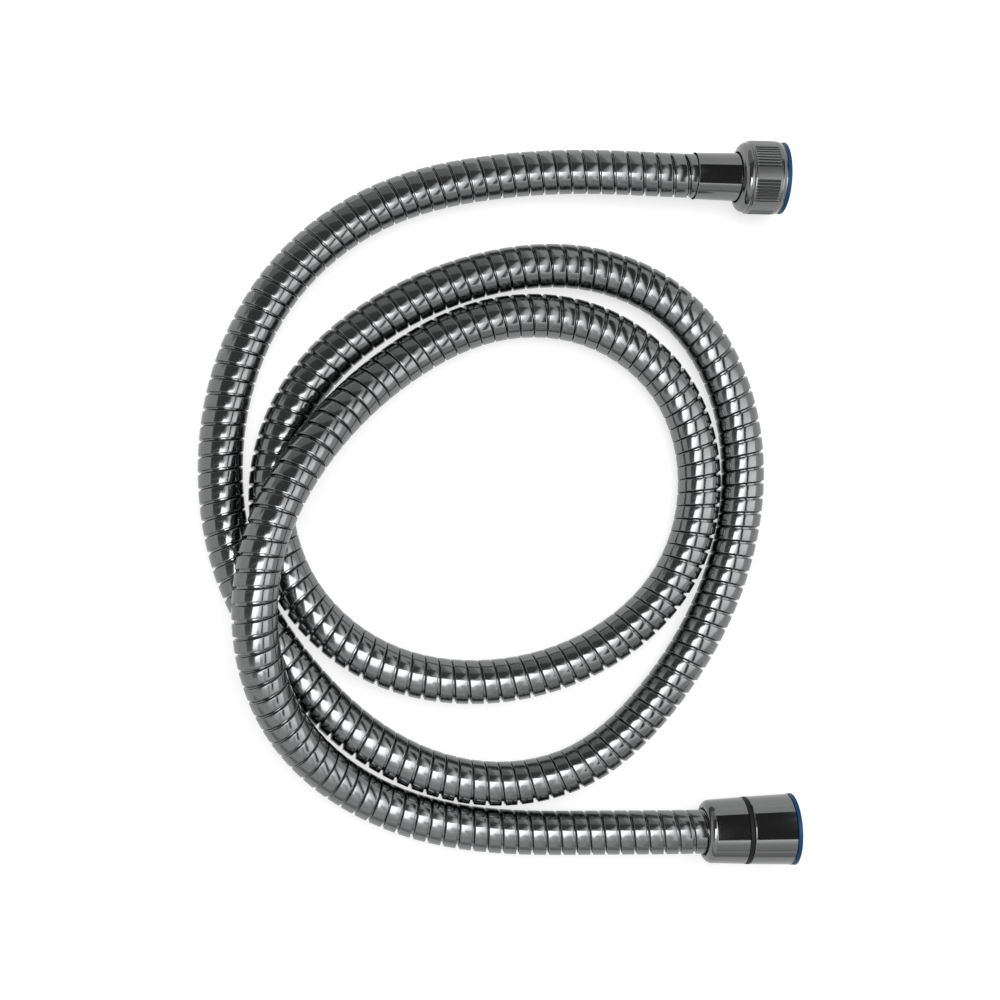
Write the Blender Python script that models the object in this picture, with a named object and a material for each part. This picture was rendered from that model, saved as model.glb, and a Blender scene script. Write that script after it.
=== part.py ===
"""Metal shower hose, 1.5 m, with a fluted nut for the mixer and a conical nut for the handset.

The hose lies flat in two loops, as it comes out of its packing. Both fittings point along +X:
the mixer's at +Y, the handset's at -Y. Z is up, and the surface under the hose is z = 0.
Every fitting is turned about its own axis, so most pieces are a section spun round +X.
"""

import math

import bmesh
import bpy
import numpy as np

# Hose
HOSE_DIAMETER = 0.015
ARMOUR_WALL = 0.00185
LINER_PLAY = 0.0005
LINER_WALL = 0.0012
ROUTE_POINTS = 76

# Gap kept between pieces that touch
CLEARANCE = 0.0003

# Places of the two fittings, and where each begins along X
FITTING_SPACING = 0.227
MIXER_MOUTH_X = -0.01775
HANDSET_MOUTH_X = -0.0145

# Crimped ferrules
FERRULE_WALL = 0.00045
FERRULE_END_WALL = 0.0012
FERRULE_EDGE = 0.0002
MIXER_FERRULE_LENGTH = 0.01865
HANDSET_FERRULE_RECESS = 0.00135

# Nipples, each with a barbed stem in the liner and a collar that holds its nut
NIPPLE_BORE = 0.0046
BARB_COUNT = 4
BARB_PITCH = 0.0026
BARB_DEPTH = 0.0005
SHANK_DIAMETER = 0.0084
COLLAR_DIAMETER = 0.018
COLLAR_THICKNESS = 0.0021
NECK_DIAMETER = 0.014
NECK_STEP = 0.00185

# G1/2 female thread: the bore before the thread is cut, and the relief behind it
THREAD_BORE = 0.0186
RELIEF_DIAMETER = 0.0206
THREAD_LEAD_IN = 0.0007

# Sealing washers and the swivel's sealing ring
WASHER_DIAMETER = 0.0199
WASHER_BORE = 0.011
WASHER_THICKNESS = 0.002
O_RING_SECTION = 0.0012

# Fluted nut
MIXER_NUT_LENGTH = 0.01483
NUT_DIAMETER = 0.025
NUT_LIP_DIAMETER = 0.0181
NUT_LIP_FLARE = 0.0018
NUT_LIP_THICKNESS = 0.0017
SHOULDER_LENGTH = 0.0045
SHOULDER_FULLNESS = 1.7
NUT_NOSE_LENGTH = 0.0013
NUT_NOSE_DROP = 0.0005
FLUTE_PATCHES = 6
FLUTES_PER_PATCH = 8
PATCH_ANGLE = math.radians(40.4)
PATCH_START = math.radians(25.5)
FLUTE_LENGTH = 0.0086
FLUTE_WIDTH = 0.0008
FLUTE_DEPTH = 0.0003

# Handset end: rear shell, black slip ring and conical nut
SHELL_LENGTH = 0.01365
SHELL_WALL = 0.00115
SHELL_REAR_DIAMETER = 0.0216
SHELL_FRONT_DIAMETER = 0.02272
SHELL_MOUTH_BORE = 0.0162
SHELL_LIP_DIAMETER = 0.017
SHELL_ROUNDING = 0.0026
SLIP_RING_PROUD = 0.00019
SLIP_RING_WIDTH = 0.0014
SLIP_RING_HUB = 0.0198
SLIP_RING_HUB_LENGTH = 0.003
CONE_LENGTH = 0.01485
CONE_REAR_DIAMETER = 0.023
CONE_FRONT_DIAMETER = 0.0242
CONE_REAR_EDGE = 0.0009
CONE_FRONT_EDGE = 0.0003
JOURNAL_LENGTH = 0.0029

# Moulded plug that closes each nut
PLUG_DIAMETER = 0.0246
PLUG_FLANGE = 0.00145
PLUG_SKIRT_LENGTH = 0.006
PLUG_WALL = 0.0012
PLUG_EDGE = 0.0003

# Facets round each kind of piece, and along its rounded corners
OUTER_SIDES = 40
INNER_SIDES = 20
BORE_SIDES = 8
O_RING_SIDES = 8
ARMOUR_ROUND_STEPS = 4
LINER_ROUND_STEPS = 2
SHOULDER_STEPS = 6
SHELL_STEPS = 5
SHELL_INNER_STEPS = 3
CONE_EDGE_STEPS = 3

# Points of the fine curve that each point of the hose's path is picked from
FINE_POINTS = 60

# Points closer than this are one
MERGE_DISTANCE = 1e-6
SHARP_ANGLE = math.radians(32)

# The hose's route between the two mouths, chosen by hand: x, y and the height of its underside
ROUTE = [
    (-0.0540, 0.1145, 0.0020),
    (-0.0910, 0.1115, 0.0000),
    (-0.1260, 0.1010, 0.0000),
    (-0.1550, 0.0790, 0.0000),
    (-0.1735, 0.0470, 0.0000),
    (-0.1793, 0.0105, 0.0000),
    (-0.1728, -0.0257, 0.0000),
    (-0.1540, -0.0570, 0.0000),
    (-0.1275, -0.0820, 0.0000),
    (-0.0930, -0.0955, 0.0000),
    (-0.0570, -0.0905, 0.0000),
    (-0.0290, -0.0670, 0.0000),
    (-0.0095, -0.0360, 0.0000),
    (0.0005, -0.0005, 0.0000),
    (-0.0025, 0.0360, 0.0000),
    (-0.0215, 0.0670, 0.0000),
    (-0.0545, 0.0815, 0.0000),
    (-0.0910, 0.0785, 0.0000),
    (-0.1250, 0.0635, 0.0000),
    (-0.1515, 0.0385, 0.0000),
    (-0.1626, 0.0040, 0.0000),
    (-0.1526, -0.0309, 0.0000),
    (-0.1250, -0.0545, 0.0000),
    (-0.0890, -0.0610, 0.0000),
    (-0.0535, -0.0520, 0.0000),
    (-0.0258, -0.0290, 0.0000),
    (-0.0145, 0.0055, 0.0000),
    (-0.0243, 0.0405, 0.0000),
    (-0.0535, 0.0620, 0.0000),
    (-0.0895, 0.0625, 0.0000),
    (-0.1220, 0.0455, 0.0012),
    (-0.1475, 0.0200, 0.0109),
    (-0.1640, -0.0115, 0.0168),
    (-0.1665, -0.0480, 0.0155),
    (-0.1525, -0.0805, 0.0060),
    (-0.1240, -0.1025, 0.0000),
    (-0.0885, -0.1120, 0.0000),
    (-0.0520, -0.1135, 0.0018),
]

# Sizes that follow from those above
HOSE_RADIUS = HOSE_DIAMETER / 2
ARMOUR_BORE_RADIUS = HOSE_RADIUS - ARMOUR_WALL
LINER_RADIUS = ARMOUR_BORE_RADIUS - LINER_PLAY
LINER_BORE_RADIUS = LINER_RADIUS - LINER_WALL
BARB_RADIUS = LINER_BORE_RADIUS * math.cos(math.pi / BORE_SIDES) - CLEARANCE
FERRULE_BORE_RADIUS = HOSE_RADIUS + CLEARANCE
FERRULE_RADIUS = FERRULE_BORE_RADIUS + FERRULE_WALL
SHANK_RADIUS = SHANK_DIAMETER / 2
NECK_RADIUS = NECK_DIAMETER / 2
COLLAR_RADIUS = COLLAR_DIAMETER / 2
NUT_RADIUS = NUT_DIAMETER / 2
NUT_LIP_BORE_RADIUS = FERRULE_RADIUS + CLEARANCE
JOURNAL_BORE_RADIUS = NECK_RADIUS + CLEARANCE
THREAD_RADIUS = THREAD_BORE / 2
RELIEF_RADIUS = RELIEF_DIAMETER / 2
AXIS_HEIGHT = NUT_RADIUS
SLIP_RING_RADIUS = SHELL_FRONT_DIAMETER / 2 + SLIP_RING_PROUD

# Stations along the mixer's fitting
MIXER_FERRULE_FRONT = MIXER_MOUTH_X + MIXER_FERRULE_LENGTH
MIXER_HOSE_END = MIXER_FERRULE_FRONT - FERRULE_END_WALL - CLEARANCE
MIXER_COLLAR_REAR = MIXER_FERRULE_FRONT + CLEARANCE
MIXER_COLLAR_FRONT = MIXER_COLLAR_REAR + COLLAR_THICKNESS
NUT_SEAT = MIXER_COLLAR_REAR - CLEARANCE
NUT_REAR = NUT_SEAT - NUT_LIP_THICKNESS - NUT_LIP_FLARE
NUT_FRONT = NUT_REAR + MIXER_NUT_LENGTH
MIXER_WASHER_REAR = MIXER_COLLAR_FRONT + CLEARANCE

# Stations along the handset's fitting
SHELL_FRONT = HANDSET_MOUTH_X + SHELL_LENGTH
SLIP_RING_REAR = SHELL_FRONT + CLEARANCE
SLIP_RING_FRONT = SLIP_RING_REAR + SLIP_RING_WIDTH
NECK_REAR = SLIP_RING_REAR - NECK_STEP
HANDSET_FERRULE_REAR = HANDSET_MOUTH_X + HANDSET_FERRULE_RECESS
HANDSET_FERRULE_FRONT = NECK_REAR - CLEARANCE
HANDSET_HOSE_END = HANDSET_FERRULE_FRONT - FERRULE_END_WALL - CLEARANCE
CONE_REAR = SLIP_RING_FRONT + CLEARANCE
CONE_FRONT = CONE_REAR + CONE_LENGTH
JOURNAL_FRONT = CONE_REAR + JOURNAL_LENGTH
HANDSET_COLLAR_REAR = JOURNAL_FRONT + CLEARANCE
HANDSET_COLLAR_FRONT = HANDSET_COLLAR_REAR + COLLAR_THICKNESS
HANDSET_WASHER_SEAT = HANDSET_COLLAR_FRONT
HANDSET_WASHER_REAR = HANDSET_WASHER_SEAT + CLEARANCE


def clear_scene():
    for item in list(bpy.data.objects):
        bpy.data.objects.remove(item, do_unlink=True)


def finish_material(name, colour, roughness, metallic):
    material = bpy.data.materials.new(name)
    material.use_nodes = True
    shader = material.node_tree.nodes["Principled BSDF"]
    shader.inputs["Base Color"].default_value = (*colour, 1.0)
    shader.inputs["Roughness"].default_value = roughness
    shader.inputs["Metallic"].default_value = metallic
    return material


def make_materials():
    return {
        "dark_chrome": finish_material("dark_chrome", (0.22, 0.23, 0.235), 0.09, 1.0),
        "brass": finish_material("brass", (0.60, 0.43, 0.18), 0.30, 1.0),
        "black_plastic": finish_material("black_plastic", (0.012, 0.012, 0.013), 0.35, 0.0),
        "blue_plastic": finish_material("blue_plastic", (0.011, 0.088, 0.262), 0.38, 0.0),
        "rubber": finish_material("rubber", (0.02, 0.02, 0.02), 0.80, 0.0),
        "liner_plastic": finish_material("liner_plastic", (0.55, 0.55, 0.53), 0.50, 0.0),
    }


def end_empty(name, side):
    """A marker on a fitting's axis, which its pieces hang from."""
    empty = bpy.data.objects.new(name, None)
    empty.location = (0.0, side * FITTING_SPACING / 2, AXIS_HEIGHT)
    empty.empty_display_size = NUT_RADIUS
    bpy.context.collection.objects.link(empty)
    return empty


def add_piece(name, mesh, material, parent=None):
    """One named object in its material, shaded smooth up to its real edges."""
    mesh.shade_smooth()
    mesh.set_sharp_from_angle(angle=SHARP_ANGLE)
    mesh.materials.append(material)
    piece = bpy.data.objects.new(name, mesh)
    piece.parent = parent
    bpy.context.collection.objects.link(piece)
    return piece


def turned_mesh(name, section, sides):
    """A closed section of (x, radius) points, spun once round the X axis."""
    shape = bmesh.new()
    corners = [shape.verts.new((x, 0.0, radius)) for x, radius in section]
    edges = []
    for first, second in zip(corners, corners[1:] + corners[:1]):
        if first.co.z > 0.0 or second.co.z > 0.0:
            edges.append(shape.edges.new((first, second)))
    bmesh.ops.spin(
        shape, geom=corners + edges, cent=(0, 0, 0), axis=(1, 0, 0), dvec=(0, 0, 0),
        angle=math.tau, steps=sides, use_merge=True,
    )
    bmesh.ops.remove_doubles(shape, verts=shape.verts, dist=MERGE_DISTANCE)
    bmesh.ops.recalc_face_normals(shape, faces=shape.faces)
    mesh = bpy.data.meshes.new(name)
    shape.to_mesh(mesh)
    shape.free()
    return mesh


def quarter(centre_x, centre_r, along, out, steps, fullness=2.0):
    """Points from the rearmost point of a rounded corner to its outermost one."""
    points = []
    for step in range(steps + 1):
        angle = math.pi / 2 * step / steps
        x = centre_x - along * math.cos(angle) ** (2 / fullness)
        points.append((x, centre_r + out * math.sin(angle) ** (2 / fullness)))
    return points


def smooth_path(route, direction, count):
    """Points at equal distances on the smooth curve through the route, straight at both ends.

    No point lies lower than a hose that rests on the surface.
    """
    route = np.array(route)
    steps = np.linalg.norm(np.diff(route, axis=0), axis=1)
    places = np.concatenate(([0.0], np.cumsum(steps)))
    last = len(route) - 1
    system = np.eye(last + 1)
    pulls = np.zeros((last + 1, 3))
    pulls[0] = -np.array(direction)
    pulls[last] = direction
    for i in range(1, last):
        before, after = steps[i - 1], steps[i]
        system[i, i - 1:i + 2] = after, 2 * (before + after), before
        pulls[i] = 3 * after * (route[i] - route[i - 1]) / before
        pulls[i] += 3 * before * (route[i + 1] - route[i]) / after
    slopes = np.linalg.solve(system, pulls)
    fine = np.linspace(0.0, places[-1], FINE_POINTS * count)
    span = np.clip(np.searchsorted(places, fine, side="right") - 1, 0, last - 1)
    width = steps[span][:, None]
    t = (fine - places[span])[:, None] / width
    curve = (2 * t**3 - 3 * t**2 + 1) * route[span] + (t**3 - 2 * t**2 + t) * width * slopes[span]
    curve += (3 * t**2 - 2 * t**3) * route[span + 1] + (t**3 - t**2) * width * slopes[span + 1]
    run = np.concatenate(([0.0], np.cumsum(np.linalg.norm(np.diff(curve, axis=0), axis=1))))
    curve[:, 2] = np.maximum(curve[:, 2], HOSE_RADIUS)
    even = np.linspace(0.0, run[-1], count)
    return [tuple(np.interp(place, run, curve[:, k]) for k in range(3)) for place in even]


def hose_path(overrun=0.0):
    """The hose's centre line from its end in one ferrule to its end in the other."""
    mixer_y, handset_y = FITTING_SPACING / 2, -FITTING_SPACING / 2
    route = [(MIXER_MOUTH_X, mixer_y, AXIS_HEIGHT)]
    route += [(x, y, lift + HOSE_RADIUS) for x, y, lift in ROUTE]
    route += [(HANDSET_MOUTH_X, handset_y, AXIS_HEIGHT)]
    path = [(MIXER_HOSE_END + overrun, mixer_y, AXIS_HEIGHT)]
    path += smooth_path(route, (1.0, 0.0, 0.0), ROUTE_POINTS)
    path += [(HANDSET_HOSE_END + overrun, handset_y, AXIS_HEIGHT)]
    return path


def tube_mesh(name, radius, roundness, overrun=0.0):
    """A plain tube along the hose's centre line, closed at both ends."""
    path = hose_path(overrun)
    curve = bpy.data.curves.new(name, "CURVE")
    curve.dimensions = "3D"
    curve.bevel_depth = radius
    curve.bevel_resolution = roundness
    curve.use_fill_caps = True
    spline = curve.splines.new("POLY")
    spline.points.add(len(path) - 1)
    for point, place in zip(spline.points, path):
        point.co = (*place, 1.0)
    guide = bpy.data.objects.new(name + "_guide", curve)
    bpy.context.collection.objects.link(guide)
    graph = bpy.context.evaluated_depsgraph_get()
    mesh = bpy.data.meshes.new_from_object(guide.evaluated_get(graph))
    bpy.data.objects.remove(guide, do_unlink=True)
    shape = bmesh.new()
    shape.from_mesh(mesh)
    bmesh.ops.remove_doubles(shape, verts=shape.verts, dist=MERGE_DISTANCE)
    bmesh.ops.recalc_face_normals(shape, faces=shape.faces)
    shape.to_mesh(mesh)
    shape.free()
    mesh.name = name
    mesh.materials.clear()
    return mesh


def cut(piece, cutter_mesh, parent=None):
    """Takes the cutter's form out of a piece."""
    cutter = bpy.data.objects.new(cutter_mesh.name, cutter_mesh)
    cutter.parent = parent
    cutter.hide_render = True
    cutter.display_type = "WIRE"
    bpy.context.collection.objects.link(cutter)
    difference = piece.modifiers.new(cutter_mesh.name, "BOOLEAN")
    difference.operation = "DIFFERENCE"
    difference.object = cutter


def make_hose(materials):
    """The wound metal armour as a plain tube, and the liner that carries the water inside it."""
    armour_mesh = tube_mesh("armour", HOSE_RADIUS, ARMOUR_ROUND_STEPS)
    armour = add_piece("hose_armour", armour_mesh, materials["dark_chrome"])
    cut(armour, tube_mesh("armour_bore", ARMOUR_BORE_RADIUS, LINER_ROUND_STEPS, overrun=CLEARANCE))
    liner_mesh = tube_mesh("liner", LINER_RADIUS, LINER_ROUND_STEPS)
    liner = add_piece("inner_liner", liner_mesh, materials["liner_plastic"])
    cut(liner, tube_mesh("liner_bore", LINER_BORE_RADIUS, LINER_ROUND_STEPS, overrun=CLEARANCE))


def make_ferrule(name, rear, front, materials, parent):
    """A thin sleeve crimped on the hose's end, with an end wall behind the nipple."""
    inner = SHANK_RADIUS + CLEARANCE
    section = [
        (rear, FERRULE_BORE_RADIUS),
        (rear, FERRULE_RADIUS - FERRULE_EDGE),
        (rear + FERRULE_EDGE, FERRULE_RADIUS),
        (front - FERRULE_EDGE, FERRULE_RADIUS),
        (front, FERRULE_RADIUS - FERRULE_EDGE),
        (front, inner),
        (front - FERRULE_END_WALL, inner),
        (front - FERRULE_END_WALL, FERRULE_BORE_RADIUS),
    ]
    add_piece(name, turned_mesh(name, section, OUTER_SIDES), materials["dark_chrome"], parent)


def barbed_stem(hose_end):
    """The nipple's section from its tip in the liner to the hose's end, tooth by tooth."""
    root = BARB_RADIUS - BARB_DEPTH
    tip = hose_end - CLEARANCE - (BARB_COUNT + 1) * BARB_PITCH
    points = [(tip, NIPPLE_BORE / 2)]
    for tooth in range(BARB_COUNT):
        start = tip + tooth * BARB_PITCH
        points.append((start, root))
        points.append((start + BARB_PITCH, BARB_RADIUS))
    points.append((tip + BARB_COUNT * BARB_PITCH, root))
    points.append((hose_end + CLEARANCE / 2, root))
    points.append((hose_end + CLEARANCE / 2, SHANK_RADIUS))
    return points


def make_mixer_nipple(materials, parent):
    section = barbed_stem(MIXER_HOSE_END)
    section += [
        (MIXER_COLLAR_REAR, SHANK_RADIUS),
        (MIXER_COLLAR_REAR, COLLAR_RADIUS),
        (MIXER_COLLAR_FRONT, COLLAR_RADIUS),
        (MIXER_COLLAR_FRONT, NIPPLE_BORE / 2),
    ]
    mesh = turned_mesh("mixer_nipple", section, INNER_SIDES)
    add_piece("mixer_nipple", mesh, materials["brass"], parent)


def groove_place():
    """The middle of the sealing ring's groove, half way along the conical nut's journal."""
    return (CONE_REAR + JOURNAL_FRONT) / 2


def make_handset_nipple(materials, parent):
    """The swivel's spindle: barbed stem, neck with the sealing ring's groove, and collar."""
    groove_half = O_RING_SECTION / 2 + CLEARANCE
    groove_radius = JOURNAL_BORE_RADIUS - O_RING_SECTION - 2 * CLEARANCE
    section = barbed_stem(HANDSET_HOSE_END)
    section += [
        (NECK_REAR, SHANK_RADIUS),
        (NECK_REAR, NECK_RADIUS),
        (groove_place() - groove_half, NECK_RADIUS),
        (groove_place() - groove_half, groove_radius),
        (groove_place() + groove_half, groove_radius),
        (groove_place() + groove_half, NECK_RADIUS),
        (HANDSET_COLLAR_REAR, NECK_RADIUS),
        (HANDSET_COLLAR_REAR, COLLAR_RADIUS),
        (HANDSET_COLLAR_FRONT, COLLAR_RADIUS),
        (HANDSET_COLLAR_FRONT, NIPPLE_BORE / 2),
    ]
    mesh = turned_mesh("handset_nipple", section, INNER_SIDES)
    add_piece("handset_nipple", mesh, materials["brass"], parent)


def make_o_ring(materials, parent):
    middle = JOURNAL_BORE_RADIUS - CLEARANCE - O_RING_SECTION / 2
    section = []
    for side in range(O_RING_SIDES):
        angle = math.tau * side / O_RING_SIDES
        x = groove_place() + O_RING_SECTION / 2 * math.cos(angle)
        section.append((x, middle + O_RING_SECTION / 2 * math.sin(angle)))
    add_piece("o_ring", turned_mesh("o_ring", section, INNER_SIDES), materials["rubber"], parent)


def make_washer(name, rear, materials, parent):
    section = [
        (rear, WASHER_BORE / 2),
        (rear, WASHER_DIAMETER / 2),
        (rear + WASHER_THICKNESS, WASHER_DIAMETER / 2),
        (rear + WASHER_THICKNESS, WASHER_BORE / 2),
    ]
    add_piece(name, turned_mesh(name, section, INNER_SIDES), materials["rubber"], parent)


def thread_socket(front, face_radius, washer_rear, seat):
    """The nut's inside from its front face back past the thread and the washer's room to its seat."""
    relief_front = washer_rear + WASHER_THICKNESS + CLEARANCE
    return [
        (front, face_radius),
        (front, THREAD_RADIUS + THREAD_LEAD_IN),
        (front - THREAD_LEAD_IN, THREAD_RADIUS),
        (relief_front, THREAD_RADIUS),
        (relief_front, RELIEF_RADIUS),
        (seat, RELIEF_RADIUS),
    ]


def flute_cutters():
    """Bars with a diamond section, in patches round the nut, each of which cuts one flute."""
    shape = bmesh.new()
    rear = NUT_REAR + SHOULDER_LENGTH
    half = FLUTE_WIDTH / 2
    diamond = ((-half, 0), (0, -FLUTE_DEPTH), (half, 0), (0, FLUTE_DEPTH))
    for patch in range(FLUTE_PATCHES):
        for flute in range(FLUTES_PER_PATCH):
            turn = PATCH_START + math.tau * patch / FLUTE_PATCHES
            turn += PATCH_ANGLE * ((flute + 0.5) / FLUTES_PER_PATCH - 0.5)
            corners = []
            for x in (rear, rear + FLUTE_LENGTH):
                for across, up in diamond:
                    radius = NUT_RADIUS + up
                    y = radius * math.sin(turn) + across * math.cos(turn)
                    z = radius * math.cos(turn) - across * math.sin(turn)
                    corners.append(shape.verts.new((x, y, z)))
            shape.faces.new(corners[:4])
            shape.faces.new(corners[:3:-1])
            for k in range(4):
                after = (k + 1) % 4
                shape.faces.new((corners[after], corners[k], corners[4 + k], corners[4 + after]))
    bmesh.ops.recalc_face_normals(shape, faces=shape.faces)
    mesh = bpy.data.meshes.new("flute_bars")
    shape.to_mesh(mesh)
    shape.free()
    return mesh


def make_mixer_nut(materials, parent):
    """The nut that screws on the mixer: lip, full shoulder, patches of flutes, threaded socket."""
    lip_radius = NUT_LIP_DIAMETER / 2
    nose_radius = NUT_RADIUS - NUT_NOSE_DROP
    flare = NUT_REAR + NUT_LIP_FLARE
    swell = NUT_RADIUS - lip_radius
    section = [(flare, NUT_LIP_BORE_RADIUS)]
    section += quarter(
        NUT_REAR + SHOULDER_LENGTH, lip_radius, SHOULDER_LENGTH, swell, SHOULDER_STEPS,
        SHOULDER_FULLNESS,
    )
    section += [(NUT_FRONT - NUT_NOSE_LENGTH, NUT_RADIUS)]
    section += thread_socket(NUT_FRONT, nose_radius, MIXER_WASHER_REAR, NUT_SEAT)
    section += [(NUT_SEAT, NUT_LIP_BORE_RADIUS)]
    mesh = turned_mesh("mixer_nut", section, OUTER_SIDES)
    nut = add_piece("mixer_nut", mesh, materials["dark_chrome"], parent)
    cut(nut, flute_cutters(), parent)


def make_rear_shell(materials, parent):
    """The sleeve over the handset's ferrule, with its mouth rolled in towards the hose."""
    lip_radius = SHELL_LIP_DIAMETER / 2
    mouth_radius = SHELL_MOUTH_BORE / 2
    rear_radius = SHELL_REAR_DIAMETER / 2
    front_radius = SHELL_FRONT_DIAMETER / 2
    corner = HANDSET_MOUTH_X + SHELL_ROUNDING
    along, out = SHELL_ROUNDING, rear_radius - lip_radius
    inside = quarter(corner, lip_radius, along - SHELL_WALL, out - SHELL_WALL, SHELL_INNER_STEPS)
    section = [(HANDSET_MOUTH_X + CLEARANCE, mouth_radius)]
    section += quarter(corner, lip_radius, along, out, SHELL_STEPS)
    section += [
        (SHELL_FRONT - CLEARANCE, front_radius),
        (SHELL_FRONT, front_radius - CLEARANCE),
        (SHELL_FRONT, SLIP_RING_HUB / 2 + CLEARANCE),
    ]
    section += inside[::-1]
    section += [(inside[0][0], mouth_radius)]
    mesh = turned_mesh("rear_shell", section, OUTER_SIDES)
    add_piece("rear_shell", mesh, materials["dark_chrome"], parent)


def make_slip_ring(materials, parent):
    """The black bearing ring: its hub centres the shell, and its rim shows between shell and cone."""
    hub = SLIP_RING_HUB / 2
    sleeve = FERRULE_RADIUS + CLEARANCE
    step = NECK_REAR + CLEARANCE
    rear = SLIP_RING_REAR - SLIP_RING_HUB_LENGTH
    section = [
        (rear, sleeve),
        (rear, hub),
        (SLIP_RING_REAR, hub),
        (SLIP_RING_REAR, SLIP_RING_RADIUS),
        (SLIP_RING_FRONT, SLIP_RING_RADIUS),
        (SLIP_RING_FRONT, JOURNAL_BORE_RADIUS),
        (step, JOURNAL_BORE_RADIUS),
        (step, sleeve),
    ]
    mesh = turned_mesh("slip_ring", section, OUTER_SIDES)
    add_piece("slip_ring", mesh, materials["black_plastic"], parent)


def make_cone_nut(materials, parent):
    """The conical nut that screws on the handset and turns on the nipple's neck."""
    rear_radius = CONE_REAR_DIAMETER / 2
    front_radius = CONE_FRONT_DIAMETER / 2
    collar_room = COLLAR_RADIUS + CLEARANCE
    edge = CONE_REAR_EDGE
    section = [(CONE_REAR, JOURNAL_BORE_RADIUS)]
    section += quarter(CONE_REAR + edge, rear_radius - edge, edge, edge, CONE_EDGE_STEPS)
    section += [(CONE_FRONT - CONE_FRONT_EDGE, front_radius)]
    face_radius = front_radius - CONE_FRONT_EDGE
    section += thread_socket(CONE_FRONT, face_radius, HANDSET_WASHER_REAR, HANDSET_WASHER_SEAT)
    section += [
        (HANDSET_WASHER_SEAT, collar_room),
        (JOURNAL_FRONT, collar_room),
        (JOURNAL_FRONT, JOURNAL_BORE_RADIUS),
    ]
    mesh = turned_mesh("cone_nut", section, OUTER_SIDES)
    add_piece("cone_nut", mesh, materials["dark_chrome"], parent)


def make_plug(name, nut_front, materials, parent):
    """A moulded plug: a flat flange nearly as wide as its nut, and a hollow skirt in the thread."""
    rim = PLUG_DIAMETER / 2
    skirt = THREAD_RADIUS - CLEARANCE
    rear = nut_front + CLEARANCE
    front = rear + PLUG_FLANGE
    section = [
        (front, 0.0),
        (front, rim - PLUG_EDGE),
        (front - PLUG_EDGE, rim),
        (rear, rim),
        (rear, skirt),
        (rear - PLUG_SKIRT_LENGTH, skirt),
        (rear - PLUG_SKIRT_LENGTH, skirt - PLUG_WALL),
        (front - PLUG_WALL, skirt - PLUG_WALL),
        (front - PLUG_WALL, 0.0),
    ]
    add_piece(name, turned_mesh(name, section, OUTER_SIDES), materials["blue_plastic"], parent)


def main():
    clear_scene()
    materials = make_materials()
    mixer_end = end_empty("mixer_end", 1)
    handset_end = end_empty("handset_end", -1)
    make_hose(materials)
    make_ferrule("mixer_ferrule", MIXER_MOUTH_X, MIXER_FERRULE_FRONT, materials, mixer_end)
    make_mixer_nipple(materials, mixer_end)
    make_mixer_nut(materials, mixer_end)
    make_washer("mixer_washer", MIXER_WASHER_REAR, materials, mixer_end)
    make_plug("mixer_plug", NUT_FRONT, materials, mixer_end)
    make_ferrule("handset_ferrule", HANDSET_FERRULE_REAR, HANDSET_FERRULE_FRONT, materials, handset_end)
    make_handset_nipple(materials, handset_end)
    make_o_ring(materials, handset_end)
    make_rear_shell(materials, handset_end)
    make_slip_ring(materials, handset_end)
    make_cone_nut(materials, handset_end)
    make_washer("handset_washer", HANDSET_WASHER_REAR, materials, handset_end)
    make_plug("handset_plug", CONE_FRONT, materials, handset_end)


main()
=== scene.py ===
"""Looks for the metal shower hose: its wound armour, the two swivel fittings, their finishes,
a plain studio and the camera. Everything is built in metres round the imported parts, which
stay where they are. The hose lies on z = 0 and both fittings point along +X.
"""

import math

import bpy
import numpy as np
from bpy.props import FloatProperty, FloatVectorProperty, IntProperty, PointerProperty
from mathutils import Matrix, Vector


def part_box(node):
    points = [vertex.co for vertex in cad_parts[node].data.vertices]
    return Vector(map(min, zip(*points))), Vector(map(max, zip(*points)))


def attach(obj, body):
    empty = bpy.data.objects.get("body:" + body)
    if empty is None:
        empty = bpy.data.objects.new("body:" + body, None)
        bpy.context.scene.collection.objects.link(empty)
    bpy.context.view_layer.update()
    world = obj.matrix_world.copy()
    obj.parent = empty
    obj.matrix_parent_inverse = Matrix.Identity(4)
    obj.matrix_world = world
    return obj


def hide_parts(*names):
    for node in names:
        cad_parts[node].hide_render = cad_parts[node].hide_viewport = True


bl_info = {
    "name": "Shower Hose Looks",
    "version": (1, 0, 0),
    "blender": (4, 5, 0),
    "location": "3D View > Sidebar > Shower Hose",
    "description": "Wound armour, swivel fittings, finishes, studio and camera of a shower hose",
    "category": "Object",
}

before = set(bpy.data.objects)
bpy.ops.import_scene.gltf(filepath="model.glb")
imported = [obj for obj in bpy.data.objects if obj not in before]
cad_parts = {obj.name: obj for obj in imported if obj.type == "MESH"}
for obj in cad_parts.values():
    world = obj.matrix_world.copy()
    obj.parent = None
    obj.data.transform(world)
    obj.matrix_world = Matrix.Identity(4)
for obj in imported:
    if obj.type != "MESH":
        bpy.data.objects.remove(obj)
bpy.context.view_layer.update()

MM = 0.001
WHITE = (1.0, 1.0, 1.0, 1.0)

# The gap that the parts keep between pieces that touch, and how far a rim reaches into it, so
# that no slit shows between two rims
GAP = 0.0003
SEAM = 0.00026

# How far the corners of the turned pieces are rounded, and how far from a corner the points lie
# that keep a long side flat
FINE_EDGE = 0.0001
RIM_EDGE = 0.00012
EDGE = 0.0002
SOFT_EDGE = 0.0003
ROUND_EDGE = 0.0004
BRACE = 0.00012

# Radii in the nuts' sockets: the front rim's, the narrow throat's and the thread's
SOCKET_RIM = 0.0100
SOCKET_THROAT = 0.0093
SOCKET_ROOM = 0.0103

# Points on the hose's fine centre line
LINE_POINTS = 4500

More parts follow.
